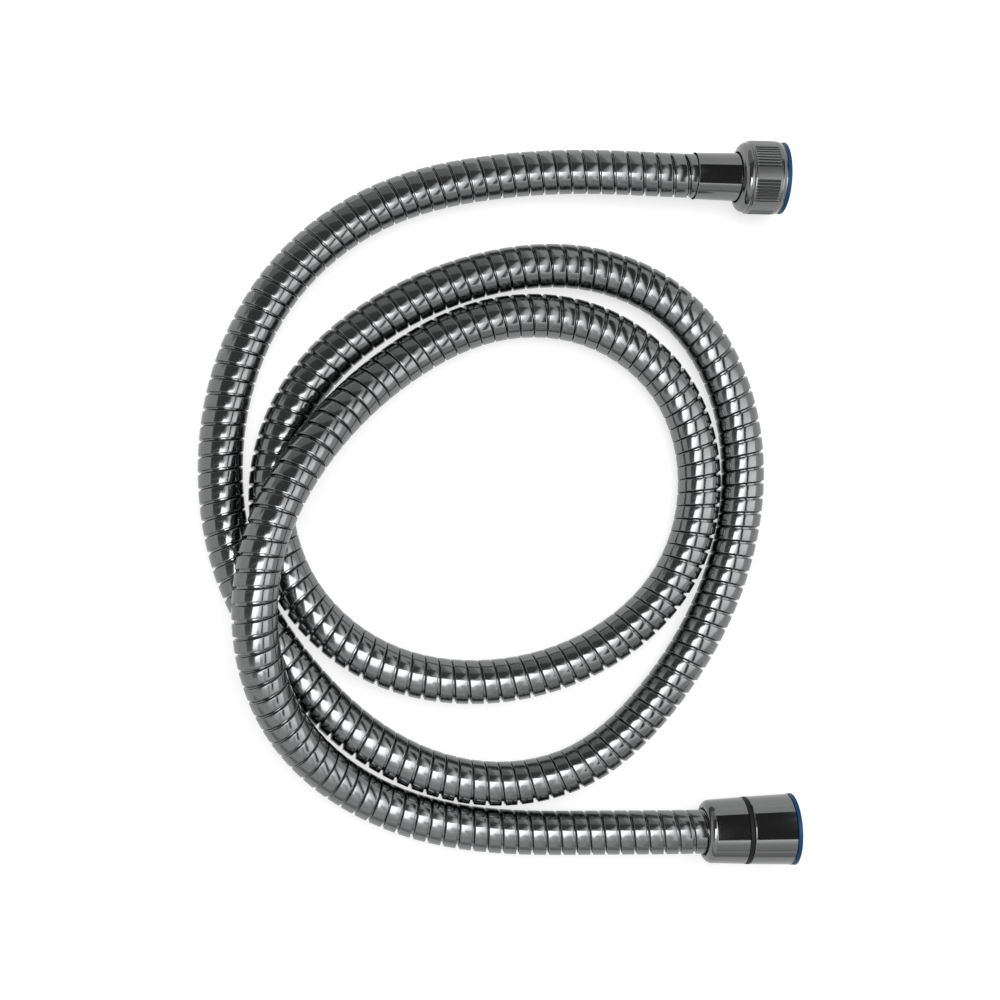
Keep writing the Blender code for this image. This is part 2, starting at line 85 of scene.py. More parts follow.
# The hose's route between the two fittings: x, y and the height of its underside, in metres
ROUTE = [
    (-0.0540, 0.1145, 0.0020),
    (-0.0910, 0.1115, 0.0000),
    (-0.1260, 0.1010, 0.0000),
    (-0.1550, 0.0790, 0.0000),
    (-0.1735, 0.0470, 0.0000),
    (-0.1793, 0.0105, 0.0000),
    (-0.1728, -0.0257, 0.0000),
    (-0.1540, -0.0570, 0.0000),
    (-0.1275, -0.0820, 0.0000),
    (-0.0930, -0.0955, 0.0000),
    (-0.0570, -0.0905, 0.0000),
    (-0.0290, -0.0670, 0.0000),
    (-0.0095, -0.0360, 0.0000),
    (0.0005, -0.0005, 0.0000),
    (-0.0025, 0.0360, 0.0000),
    (-0.0215, 0.0670, 0.0000),
    (-0.0545, 0.0815, 0.0000),
    (-0.0910, 0.0785, 0.0000),
    (-0.1250, 0.0635, 0.0000),
    (-0.1515, 0.0385, 0.0000),
    (-0.1626, 0.0040, 0.0000),
    (-0.1526, -0.0309, 0.0000),
    (-0.1250, -0.0545, 0.0000),
    (-0.0890, -0.0610, 0.0000),
    (-0.0535, -0.0520, 0.0000),
    (-0.0258, -0.0290, 0.0000),
    (-0.0145, 0.0055, 0.0000),
    (-0.0243, 0.0405, 0.0000),
    (-0.0535, 0.0620, 0.0000),
    (-0.0895, 0.0625, 0.0000),
    (-0.1220, 0.0455, 0.0012),
    (-0.1475, 0.0200, 0.0109),
    (-0.1640, -0.0115, 0.0168),
    (-0.1665, -0.0480, 0.0155),
    (-0.1525, -0.0805, 0.0060),
    (-0.1240, -0.1025, 0.0000),
    (-0.0885, -0.1120, 0.0000),
    (-0.0520, -0.1135, 0.0018),
]
MIXER_MOUTH = (-0.01775, 0.1135, 0.0125)
HANDSET_MOUTH = (-0.0145, -0.1135, 0.0125)
MIXER_HOSE_END = -0.0006
HANDSET_HOSE_END = -0.0042

# One turn of the wound strip, in mm: place along the hose and depth under the crown. It starts in
# the slot on the mixer's side, rises over a narrow foot to the flat crown, and ends down the lip.
TURN_SECTION = [
    (-2.60, 1.40),
    (-2.57, 0.74),
    (-2.36, 0.68),
    (-2.22, 0.48),
    (-2.11, 0.20),
    (-1.97, 0.05),
    (-1.78, 0.00),
    (1.62, 0.00),
    (1.87, 0.02),
    (2.03, 0.10),
    (2.12, 0.28),
    (2.10, 1.40),
]

# The fluted nut's shoulder, in mm: place in front of the rear face, and depth under the nut's
# full radius. It ends in a fine groove before the flutes.
SHOULDER = [
    (0.00, 3.75),
    (0.02, 3.50),
    (0.10, 3.22),
    (0.24, 2.98),
    (0.38, 2.62),
    (0.55, 2.14),
    (0.80, 1.66),
    (1.10, 1.28),
    (1.50, 0.94),
    (2.00, 0.69),
    (2.50, 0.56),
    (2.92, 0.52),
    (3.06, 0.60),
    (3.20, 0.60),
    (3.32, 0.32),
    (3.50, 0.12),
    (3.75, 0.03),
]

# Cards round the set that only show in reflections: four corners in metres, each with how bright
# the card is there
CARDS = {
    "dark_canopy": [
        (-0.62, 0.02, 0.40, 0.15), (-0.085, 0.055, 0.40, 0.10),
        (0.09, 0.42, 0.40, 0.16), (-0.62, 0.50, 0.40, 0.15),
    ],
    "dark_side": [
        (-0.62, -0.40, 0.40, 0.35), (-0.33, -0.30, 0.40, 0.45),
        (-0.20, 0.035, 0.40, 0.10), (-0.62, 0.02, 0.40, 0.15),
    ],
    "main_softbox": [
        (-0.28, -0.22, 0.401, 3.8), (-0.12, -0.22, 0.401, 2.9),
        (-0.055, 0.022, 0.401, 8.0), (-0.19, 0.035, 0.401, 7.0),
    ],
    "inner_softbox": [
        (-0.10, -0.14, 0.4005, 2.8), (0.005, -0.14, 0.4005, 2.4),
        (0.030, 0.07, 0.4005, 3.0), (-0.06, 0.025, 0.4005, 6.0),
    ],
    "low_fill": [
        (-0.30, -0.42, 0.402, 0.9), (-0.09, -0.42, 0.402, 0.9),
        (-0.09, -0.22, 0.402, 1.6), (-0.30, -0.22, 0.402, 1.3),
    ],
    "dim_gap": [
        (-0.12, -0.42, 0.403, 0.9), (-0.02, -0.42, 0.403, 0.7),
        (-0.02, -0.04, 0.403, 1.2), (-0.07, -0.04, 0.403, 1.5),
    ],
    "right_softbox_near": [
        (0.00, -0.31, 0.402, 1.5), (0.75, -0.31, 0.402, 1.9),
        (0.75, -0.04, 0.402, 2.7), (-0.03, -0.04, 0.402, 2.2),
    ],
    "near_fade": [
        (-0.02, -0.42, 0.404, 0.75), (0.75, -0.42, 0.404, 0.75),
        (0.75, -0.31, 0.402, 1.5), (-0.02, -0.31, 0.402, 1.2),
    ],
    "near_end": [
        (-0.02, -0.95, 0.404, 0.45), (0.75, -0.95, 0.404, 0.45),
        (0.75, -0.42, 0.404, 0.75), (-0.02, -0.42, 0.404, 0.75),
    ],
    "right_softbox_far": [
        (-0.03, -0.04, 0.402, 2.2), (0.75, -0.04, 0.402, 2.7),
        (0.75, 0.26, 0.402, 1.3), (0.02, 0.26, 0.402, 1.3),
    ],
    "boom_near": [
        (0.048, -0.26, 0.39, 0.06), (0.152, -0.26, 0.39, 0.06),
        (0.096, -0.02, 0.316, 0.06), (0.033, -0.02, 0.316, 0.06),
    ],
    "boom_middle": [
        (0.033, -0.02, 0.316, 0.06), (0.096, -0.02, 0.316, 0.06),
        (0.094, 0.11, 0.25, 0.06), (0.026, 0.11, 0.25, 0.06),
    ],
    "boom_far": [
        (0.026, 0.11, 0.25, 0.06), (0.094, 0.11, 0.25, 0.06),
        (0.120, 0.284, 0.165, 0.06), (0.024, 0.284, 0.165, 0.06),
    ],
    "far_wall": [
        (-1.10, 0.50, 0.40, 0.35), (0.02, 0.42, 0.40, 0.40),
        (-0.04, 1.20, 0.00, 0.55), (-1.10, 1.20, 0.00, 0.50),
    ],
    "dark_wall": [
        (-1.2, -0.9, 0.0, 0.4), (1.2, -0.9, 0.0, 0.4),
        (1.2, -0.9, 0.32, 0.6), (-1.2, -0.9, 0.32, 0.6),
    ],
}


class HoseSettings(bpy.types.PropertyGroup):
    """The wound hose."""

    diameter: FloatProperty(
        name="Diameter", description="Across the crowns of the winding",
        default=0.015, min=0.004, unit="LENGTH", precision=5,
    )
    pitch: FloatProperty(
        name="Pitch", description="From one turn of the strip to the next",
        default=0.00505, min=0.002, unit="LENGTH", precision=5,
    )
    bore: FloatProperty(
        name="Bore", description="Inside diameter of the armour",
        default=0.0113, min=0.002, unit="LENGTH", precision=5,
    )
    steps: IntProperty(
        name="Steps per turn", description="Facets round the hose", default=26, min=12, max=48,
    )
    liner_rings: IntProperty(
        name="Inner rings", description="Rings along the armour's inside", default=160, min=20,
    )


class FittingSettings(bpy.types.PropertyGroup):
    """The turned fittings."""

    sides: IntProperty(
        name="Sides", description="Facets round each turned piece", default=144, min=24, max=360,
    )
    sleeve_wall: FloatProperty(
        name="Sleeve wall", description="Thickness of the crimped sleeves",
        default=0.00045, unit="LENGTH", precision=5,
    )
    flute_depth: FloatProperty(
        name="Flute depth", description="Depth of the nut's grip flutes",
        default=0.00036, unit="LENGTH", precision=5,
    )
    flute_width: FloatProperty(
        name="Flute width", description="Width of each grip flute",
        default=0.001, unit="LENGTH", precision=5,
    )
    flute_length: FloatProperty(
        name="Flute length", description="Length of the grip flutes along the nut",
        default=0.0086, unit="LENGTH", precision=5,
    )
    flute_run_out: FloatProperty(
        name="Flute run-out", description="How far from its ends a flute reaches its full depth",
        default=0.0005, unit="LENGTH", precision=5,
    )
    shoulder_length: FloatProperty(
        name="Shoulder length", description="From the nut's rear face to its flutes",
        default=0.0039, unit="LENGTH", precision=5,
    )
    patches: IntProperty(
        name="Patches", description="Patches of flutes round the nut", default=6, min=1,
    )
    flutes: IntProperty(
        name="Flutes", description="Flutes in each patch", default=8, min=1,
    )
    patch_angle: FloatProperty(
        name="Patch angle", description="Angle that one patch of flutes spans",
        default=math.radians(40.4), unit="ROTATION",
    )
    first_patch: FloatProperty(
        name="First patch", description="Angle from straight up to the middle of the first patch",
        default=math.radians(25.5), unit="ROTATION",
    )


class FinishSettings(bpy.types.PropertyGroup):
    """Colours and gloss."""

    fitting_colour: FloatVectorProperty(
        name="Fitting chrome", description="Reflected colour of the plated fittings",
        default=(0.212, 0.217, 0.214), subtype="COLOR", min=0, max=1,
    )
    winding_colour: FloatVectorProperty(
        name="Winding chrome", description="Reflected colour of the plated strip",
        default=(0.217, 0.222, 0.224), subtype="COLOR", min=0, max=1,
    )
    winding_roughness: FloatProperty(
        name="Winding roughness", description="Roughness of the wound strip", default=0.14,
    )
    fitting_roughness: FloatProperty(
        name="Fitting roughness", description="Roughness of the polished fittings", default=0.07,
    )
    belt_roughness: FloatProperty(
        name="Belt roughness", description="Roughness of the nut's fluted belt", default=0.33,
    )
    plug_colour: FloatVectorProperty(
        name="Plug blue", description="Colour of the moulded plugs",
        default=(0.004, 0.052, 0.140), subtype="COLOR", min=0, max=1,
    )


class StudioSettings(bpy.types.PropertyGroup):
    """Camera, light and floor."""

    lens: FloatProperty(
        name="Lens", description="Focal length on a 36 mm sensor, in mm", default=54.0,
    )
    lamp_power: FloatProperty(
        name="Lamp power", description="Power of the soft lamp overhead, in watts", default=9.0,
    )
    lamp_size: FloatProperty(
        name="Lamp size", description="Width of the soft lamp", default=0.9, unit="LENGTH",
    )
    sky: FloatProperty(
        name="Sky", description="Light from the white surroundings", default=0.55,
    )
    mirrored_sky: FloatProperty(
        name="Mirrored sky", description="How bright the surroundings are in reflections",
        default=0.85,
    )
    floor_size: FloatProperty(
        name="Floor size", description="Length of each side of the floor", default=6.0,
        unit="LENGTH",
    )
    floor_grey: FloatProperty(
        name="Floor grey", description="How much of the light on it the floor scatters",
        default=0.45,
    )
    floor_glow: FloatProperty(
        name="Floor glow", description="The floor's own light as the camera sees it",
        default=0.66,
    )
    mirrored_floor: FloatProperty(
        name="Mirrored floor", description="The floor's own light in reflections", default=0.42,
    )


class Graph:
    """Adds nodes to one node tree."""

    def __init__(self, tree):
        self.tree = tree

    def add(self, kind, settings=None, **inputs):
        """A node of that type: its settings first, then the values or links of its sockets."""
        node = self.tree.nodes.new(kind)
        for key, value in (settings or {}).items():
            setattr(node, key, value)
        for key, value in inputs.items():
            self.feed(node, key, value)
        return Wires(self, node)

    def feed(self, node, key, value):
        """Link or set a socket, named with _ for a space, or i and its number."""
        name = key.replace("_", " ")
        if key[1:].isdigit():
            target = node.inputs[int(key[1:])]
        else:
            target = next(s for s in node.inputs if s.name == name and s.enabled)
        if isinstance(value, Wire):
            self.tree.links.new(value.socket, target)
        else:
            target.default_value = value


class Wires:
    """A new node, whose outputs are read by name."""

    def __init__(self, graph, node):
        self.graph = graph
        self.node = node

    def __getitem__(self, name):
        socket = next(s for s in self.node.outputs if s.name == name and s.enabled)
        return Wire(self.graph, socket)


class Wire:
    """A socket that can be used in sums."""

    def __init__(self, graph, socket):
        self.graph = graph
        self.socket = socket

    def _math(self, operation, *values, clamp=False):
        settings = {"operation": operation, "use_clamp": clamp}
        inputs = {f"i{k}": value for k, value in enumerate(values)}
        return self.graph.add("ShaderNodeMath", settings, **inputs)["Value"]

    def __add__(self, other):
        return self._math("ADD", self, other)

    __radd__ = __add__

    def __sub__(self, other):
        return self._math("SUBTRACT", self, other)

    def __rsub__(self, other):
        return self._math("SUBTRACT", other, self)

    def __mul__(self, other):
        return self._math("MULTIPLY", self, other)

    def above(self, level, softness):
        """0 below the level and 1 above it, with a soft step between."""
        return self._math("MULTIPLY", self - level, 1.0 / softness, clamp=True)

    def root(self):
        return self._math("SQRT", self)

    def either(self, other):
        return self._math("MAXIMUM", self, other)


def new_material(name):
    """A material with its shader, and the graph that adds nodes to it."""
    material = bpy.data.materials.new(name)
    material.use_nodes = True
    return material, material.node_tree.nodes["Principled BSDF"], Graph(material.node_tree)


def noise(graph, scale, detail=3.0):
    place = graph.add("ShaderNodeTexCoord")["Object"]
    return graph.add("ShaderNodeTexNoise", Vector=place, Scale=scale, Detail=detail)["Fac"]


def bump(graph, shader, height, strength, distance):
    node = graph.add("ShaderNodeBump", Height=height, Strength=strength, Distance=distance)
    graph.feed(shader, "Normal", node["Normal"])


def shade(colour, level):
    return (*(level * c for c in colour), 1.0)


def mixed(graph, amount, first, second):
    node = graph.add("ShaderNodeMix", {"data_type": "RGBA"}, Factor=amount, A=first, B=second)
    return node["Result"]


def dark_chrome(name, colour, roughness, ripple, belt=None):
    """Plated metal: grey mirror with faint clouds in its gloss and a slight ripple.

    A belt (from x, to x, roughness, axis y, axis z, radius) is satin, and its flutes get painted
    shade: a darker colour in their bottoms.
    """
    material, shader, graph = new_material(name)
    shader.inputs["Metallic"].default_value = 1.0
    clouds = noise(graph, 160.0)
    grains = noise(graph, 1400.0, detail=2.0)
    metal = mixed(graph, clouds, shade(colour, 0.93), shade(colour, 1.0))
    gloss = roughness * 0.8 + (clouds * 0.25 + grains * 0.15) * roughness
    if belt:
        start, end, satin, axis_y, axis_z, radius = belt
        # The last number is how dark the painted shade in the flutes is.
        fade, hollow, flute_shade_level = 0.0006, 0.0003, 0.3
        place = graph.add("ShaderNodeTexCoord")["Object"]
        place = graph.add("ShaderNodeSeparateXYZ", Vector=place)
        inside = place["X"].above(start, fade) * (1.0 - place["X"].above(end, fade))
        gloss = gloss + inside * (satin - roughness)
        y, z = place["Y"] - axis_y, place["Z"] - axis_z
        # Painted shade: below the belt's radius, in the flutes' bottoms, the colour goes darker.
        painted_shade_mask = 1.0 - (y * y + z * z).root().above(radius - hollow, 0.8 * hollow)
        metal = mixed(graph, inside * painted_shade_mask, metal, shade(colour, flute_shade_level))
    graph.feed(shader, "Base Color", metal)
    graph.feed(shader, "Roughness", gloss)
    bump(graph, shader, clouds, ripple, 0.00012)
    return material


def moulded_plastic(name, colour, roughness, grain_height):
    """Injection-moulded plastic: even colour, faint flow marks and a fine grain."""
    material, shader, graph = new_material(name)
    shader.inputs["Specular IOR Level"].default_value = 0.2
    flow = noise(graph, 90.0)
    grain = noise(graph, 2600.0, detail=2.0)
    tint = mixed(graph, flow, shade(colour, 0.88), shade(colour, 1.0))
    graph.feed(shader, "Base Color", tint)
    graph.feed(shader, "Roughness", roughness - 0.04 + flow * 0.08)
    bump(graph, shader, grain, 0.35, grain_height)
    return material


def finish_of(kind):
    """The named finish, made once."""
    name = kind + "_finish"
    made = bpy.data.materials.get(name)
    if made:
        return made
    finish = bpy.context.scene.shower_hose_finish
    metal, gloss = tuple(finish.fitting_colour), finish.fitting_roughness
    if kind == "winding":
        return dark_chrome(name, tuple(finish.winding_colour), finish.winding_roughness, 0.25)
    if kind == "fitting":
        return dark_chrome(name, metal, gloss, 0.06)
    if kind == "belted_fitting":
        rear, _, radius, axis = node_place("mixer_nut")
        fittings = bpy.context.scene.shower_fittings
        margin = 0.0003
        start = rear + fittings.shoulder_length - margin
        end = start + fittings.flute_length + 2 * margin
        belt = (start, end, finish.belt_roughness, *axis, radius)
        return dark_chrome(name, metal, gloss, 0.06, belt)
    if kind == "brass":
        return dark_chrome(name, (0.60, 0.43, 0.18), 0.26, 0.2)
    if kind == "blue_plastic":
        return moulded_plastic(name, tuple(finish.plug_colour), 0.36, 0.00001)
    if kind == "black_plastic":
        return moulded_plastic(name, (0.010, 0.010, 0.010), 0.55, 0.00001)
    if kind == "rubber":
        return moulded_plastic(name, (0.020, 0.020, 0.020), 0.75, 0.00003)
    return moulded_plastic(name, (0.55, 0.55, 0.53), 0.48, 0.00002)


def add_piece(name, points, faces, finish, body, slot, *nodes):
    """A mesh object in its finish, riding on its body in place of its CAD nodes."""
    mesh = bpy.data.meshes.new(name)
    mesh.from_pydata(points.tolist(), [], faces)
    mesh.update()
    mesh.shade_smooth()
    mesh.set_sharp_from_angle(angle=math.radians(40))
    mesh.materials.append(finish_of(finish))
    piece = bpy.data.objects.new(name, mesh)
    bpy.context.scene.collection.objects.link(piece)
    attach(piece, body)
    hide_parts(*nodes)
    return piece


def smooth_route():
    """Close points on the smooth curve through the route, straight at both ends."""
    radius = bpy.context.scene.shower_hose.diameter / 2
    route = [MIXER_MOUTH] + [(x, y, lift + radius) for x, y, lift in ROUTE] + [HANDSET_MOUTH]
    route = np.array(route)
    steps = np.linalg.norm(np.diff(route, axis=0), axis=1)
    places = np.concatenate(([0.0], np.cumsum(steps)))
    last = len(route) - 1
    system = np.eye(last + 1)
    pulls = np.zeros((last + 1, 3))
    pulls[0] = -1.0, 0.0, 0.0
    pulls[last] = 1.0, 0.0, 0.0
    for i in range(1, last):
        before, after = steps[i - 1], steps[i]
        system[i, i - 1:i + 2] = after, 2 * (before + after), before
        pulls[i] = 3 * after * (route[i] - route[i - 1]) / before
        pulls[i] += 3 * before * (route[i + 1] - route[i]) / after
    slopes = np.linalg.solve(system, pulls)
    fine = np.linspace(0.0, places[-1], LINE_POINTS)
    span = np.clip(np.searchsorted(places, fine, side="right") - 1, 0, last - 1)
    width = steps[span][:, None]
    t = (fine - places[span])[:, None] / width
    curve = (2 * t**3 - 3 * t**2 + 1) * route[span] + (t**3 - 2 * t**2 + t) * width * slopes[span]
    curve += (3 * t**2 - 2 * t**3) * route[span + 1] + (t**3 - t**2) * width * slopes[span + 1]
    curve[:, 2] = np.maximum(curve[:, 2], radius)
    return curve


def length_of(line):
    return float(np.linalg.norm(np.diff(line, axis=0), axis=1).sum())


def hose_line():
    """The whole centre line, from the hose's end in one sleeve to its end in the other."""
    start = (MIXER_HOSE_END, MIXER_MOUTH[1], MIXER_MOUTH[2])
    end = (HANDSET_HOSE_END, HANDSET_MOUTH[1], HANDSET_MOUTH[2])
    return np.vstack((start, smooth_route(), end))


def stations(line, places):
    """Points, directions and untwisted cross directions of the line at those distances."""
    run = np.concatenate(([0.0], np.cumsum(np.linalg.norm(np.diff(line, axis=0), axis=1))))

    def at(distances):
        return np.stack([np.interp(distances, run, line[:, k]) for k in range(3)], axis=1)

    # A direction is measured over a stretch, which evens out the line's small corners
    reach = 0.0015
    middle = at(places)
    along = at(places + reach) - at(places - reach)
    along /= np.linalg.norm(along, axis=1)[:, None]
    up = np.zeros_like(along)
    side = np.array((0.0, 0.0, 1.0))
    for i, direction in enumerate(along):
        side = side - direction * side.dot(direction)
        side = side / math.sqrt(side.dot(side))
        up[i] = side
    return middle, along, up, np.cross(along, up)


def winding_mesh(line):
    """The wound strip as one closed body: its turns outside, a plain wall inside, closed ends."""
    hose = bpy.context.scene.shower_hose
    steps = hose.steps
    section = np.array(TURN_SECTION) * MM
    rows = len(section)
    room = length_of(line) + section[0, 0] - section[:, 0].max()
    turns = round(room / hose.pitch)
    count = turns * steps + 1
    index = np.arange(count)
    places = -section[0, 0] + index * room / (count - 1)
    middle, along, up, across = stations(line, places)
    angle = math.tau * index / steps
    radial = np.cos(angle)[:, None] * up + np.sin(angle)[:, None] * across
    turn = index / steps
    # The turns don't lie quite evenly
    sway = 0.00002 * np.sin(2.3 * turn) + 0.000015 * np.sin(5.1 * turn + 1.0)
    points = []
    for x, depth in section:
        radius = hose.diameter / 2 - depth
        points.append(middle + along * (x + sway)[:, None] + radial * radius)
    outer = np.stack(points, axis=1).reshape(-1, 3)

    rings = hose.liner_rings
    ring_places = np.linspace(places[steps // 2], places[-1 - steps // 2], rings)
    ring_middle, _, ring_up, ring_across = stations(line, ring_places)
    ring_angle = math.tau * np.arange(steps) / steps
    inner = ring_middle[:, None, :] + hose.bore / 2 * (
        np.cos(ring_angle)[None, :, None] * ring_up[:, None, :]
        + np.sin(ring_angle)[None, :, None] * ring_across[:, None, :]
    )
    inner = inner.reshape(-1, 3)
    base = len(outer)

    def out(i, j):
        return i * rows + j

    def ins(m, k):
        return base + m * steps + k % steps

    faces = []
    for i in range(count - 1):
        for j in range(rows - 1):
            faces.append((out(i, j), out(i + 1, j), out(i + 1, j + 1), out(i, j + 1)))
    bottom = rows - 1
    for i in range(count - 1 - steps):
        faces.append((out(i, bottom), out(i + 1, bottom), out(i + 1 + steps, 0), out(i + steps, 0)))
    for m in range(rings - 1):
        for k in range(steps):
            faces.append((ins(m, k + 1), ins(m, k), ins(m + 1, k), ins(m + 1, k + 1)))
    final = rings - 1
    first = count - 1 - steps
    for k in range(steps):
        faces.append((out(k + 1, 0), out(k, 0), ins(0, k), ins(0, k + 1)))
        i = first + k
        faces.append((out(i, bottom), out(i + 1, bottom), ins(final, k + 1), ins(final, k)))
    start_wall = [out(0, j) for j in range(rows)]
    faces.append((*start_wall, out(steps, 0), ins(0, 0)))
    end_wall = [out(count - 1, j) for j in range(rows - 1, -1, -1)]
    faces.append((*end_wall, out(first, bottom), ins(final, 0)))
    return np.vstack((outer, inner)), faces


def soften(corners, closed=True):
    """A section with its corners rounded; each corner is (x, radius, rounding)."""
    steps = 5
    points = []
    count = len(corners)
    for k, (x, r, size) in enumerate(corners):
        here = np.array((x, r))
        back = np.array(corners[k - 1][:2]) - here
        forth = np.array(corners[(k + 1) % count][:2]) - here
        if size <= 0:
            points.append(here)
            continue
        near, far = np.linalg.norm(back), np.linalg.norm(forth)
        back, forth = back / near, forth / far
        half = math.acos(max(-1.0, min(1.0, back.dot(forth)))) / 2
        reach = min(size / math.tan(half), 0.45 * near, 0.45 * far)
        size = reach * math.tan(half)
        centre = here + (back + forth) / np.linalg.norm(back + forth) * size / math.sin(half)
        start = here + back * reach - centre
        turn = math.pi - 2 * half
        if start[0] * forth[1] - start[1] * forth[0] < 0:
            turn = -turn
        for step in range(steps + 1):
            a = turn * step / steps
            c, s = math.cos(a), math.sin(a)
            points.append(centre + (c * start[0] - s * start[1], s * start[0] + c * start[1]))
    return braced(points, closed)


def braced(points, closed):
    """The same section with points near the ends of each long side, which keep that side flat."""
    more = []
    for k, here in enumerate(points):
        after = points[(k + 1) % len(points)]
        more.append(here)
        if not closed and k == len(points) - 1:
            break
        length = np.linalg.norm(after - here)
        if length > 5 * BRACE:
            step = (after - here) * BRACE / length
            more += [here + step, after - step]
    return np.array(more)


def spin(section, angles, axis, closed=True, dent=None):
    """The section spun round the line through axis (y, z); without closed its ends are poles."""
    ring = section if closed else section[1:-1]
    x = np.repeat(ring[None, :, 0], len(angles), axis=0)
    r = np.repeat(ring[None, :, 1], len(angles), axis=0)
    theta = np.repeat(np.asarray(angles)[:, None], len(ring), axis=1)
    if dent:
        r = r - dent(x, r, theta)
    points = np.stack((x, axis[0] + r * np.sin(theta), axis[1] + r * np.cos(theta)), axis=2)
    points = points.reshape(-1, 3)
    rows, columns = len(ring), len(angles)
    faces = []
    for k in range(columns):
        after = (k + 1) % columns
        for j in range(rows if closed else rows - 1):
            up = (j + 1) % rows
            faces.append((k * rows + j, k * rows + up, after * rows + up, after * rows + j))
    if not closed:
        poles = [(section[0][0], *axis), (section[-1][0], *axis)]
        points = np.vstack((points, poles))
        low, high = rows * columns, rows * columns + 1
        for k in range(columns):
            after = (k + 1) % columns
            faces.append((low, k * rows, after * rows))
            faces.append((k * rows + rows - 1, high, after * rows + rows - 1))
    return points, faces


def even_angles():
    sides = bpy.context.scene.shower_fittings.sides
    return np.arange(sides) * math.tau / sides


def node_place(node):
    """Rear and front x, radius and axis (y, z) of a turned CAD node."""
    low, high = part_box(node)
    axis = ((low.y + high.y) / 2, (low.z + high.z) / 2)
    return low.x, high.x, (high.y - low.y) / 2, axis


def bulge(centre_x, centre_r, along, out, steps):
    """Corners on a quarter ellipse, from its rearmost point to its outermost one."""
    angles = [math.pi / 2 * step / steps for step in range(steps + 1)]
    return [(centre_x - along * math.cos(a), centre_r + out * math.sin(a), 0.0) for a in angles]


def socket_corners(front, washer_front):
    """A nut's open end: its front rim, a narrow throat, and the seat in front of the washer."""
    chamfer = 0.0007
    return [
        (front, SOCKET_RIM, FINE_EDGE),
        (front - chamfer, SOCKET_THROAT, FINE_EDGE),
        (washer_front, SOCKET_THROAT, FINE_EDGE),
        (washer_front, SOCKET_ROOM, FINE_EDGE),
    ]


class SHOWERHOSE_OT_camera(bpy.types.Operator):
    """Camera at the photograph's viewing angle"""

    bl_idname = "shower_hose.camera"
    bl_label = "Camera"

    def execute(self, context):
        place = Vector((-0.15202, 0.00133, 0.51853))
        target = Vector((-0.08375, 0.00133, 0.0))
        back = (place - target).normalized()
        up = Vector((0.0, 1.0, 0.0))
        right = up.cross(back).normalized()
        turn = Matrix((right, back.cross(right), back)).transposed().to_4x4()
        lens = bpy.data.cameras.new("camera")
        lens.sensor_width = 36.0
        lens.lens = context.scene.shower_studio.lens
        lens.clip_start = 0.01
        camera = bpy.data.objects.new("camera", lens)
        camera.matrix_world = Matrix.Translation(place) @ turn
        context.scene.collection.objects.link(camera)
        context.scene.camera = camera
        return {"FINISHED"}


class SHOWERHOSE_OT_hose(bpy.types.Operator):
    """Wound metal hose along its route"""

    bl_idname = "shower_hose.hose"
    bl_label = "Wound hose"

    def execute(self, context):
        line = hose_line()
        points, faces = winding_mesh(line)
        piece = add_piece(
            "hose_winding", points, faces, "winding", "root", "dark_chrome", "hose_armour",
        )
        length = length_of(smooth_route())
        return {"FINISHED"}


class SHOWERHOSE_OT_sleeves(bpy.types.Operator):
    """Crimped sleeves on both ends of the hose"""

    bl_idname = "shower_hose.sleeves"
    bl_label = "Crimped sleeves"

    def execute(self, context):
        wall = context.scene.shower_fittings.sleeve_wall
        hole, end_wall = 0.0045, 0.0012
        for node in ("mixer_ferrule", "handset_ferrule"):
            rear, front, radius, axis = node_place(node)
            section = soften([
                (rear, radius - wall, RIM_EDGE),
                (rear, radius, EDGE),
                (front, radius, EDGE),
                (front, hole, FINE_EDGE),
                (front - end_wall, hole, FINE_EDGE),
                (front - end_wall, radius - wall, FINE_EDGE),
            ])
            points, faces = spin(section, even_angles(), axis)
            add_piece(node + "_sleeve", points, faces, "fitting", "root", "dark_chrome", node)
        return {"FINISHED"}


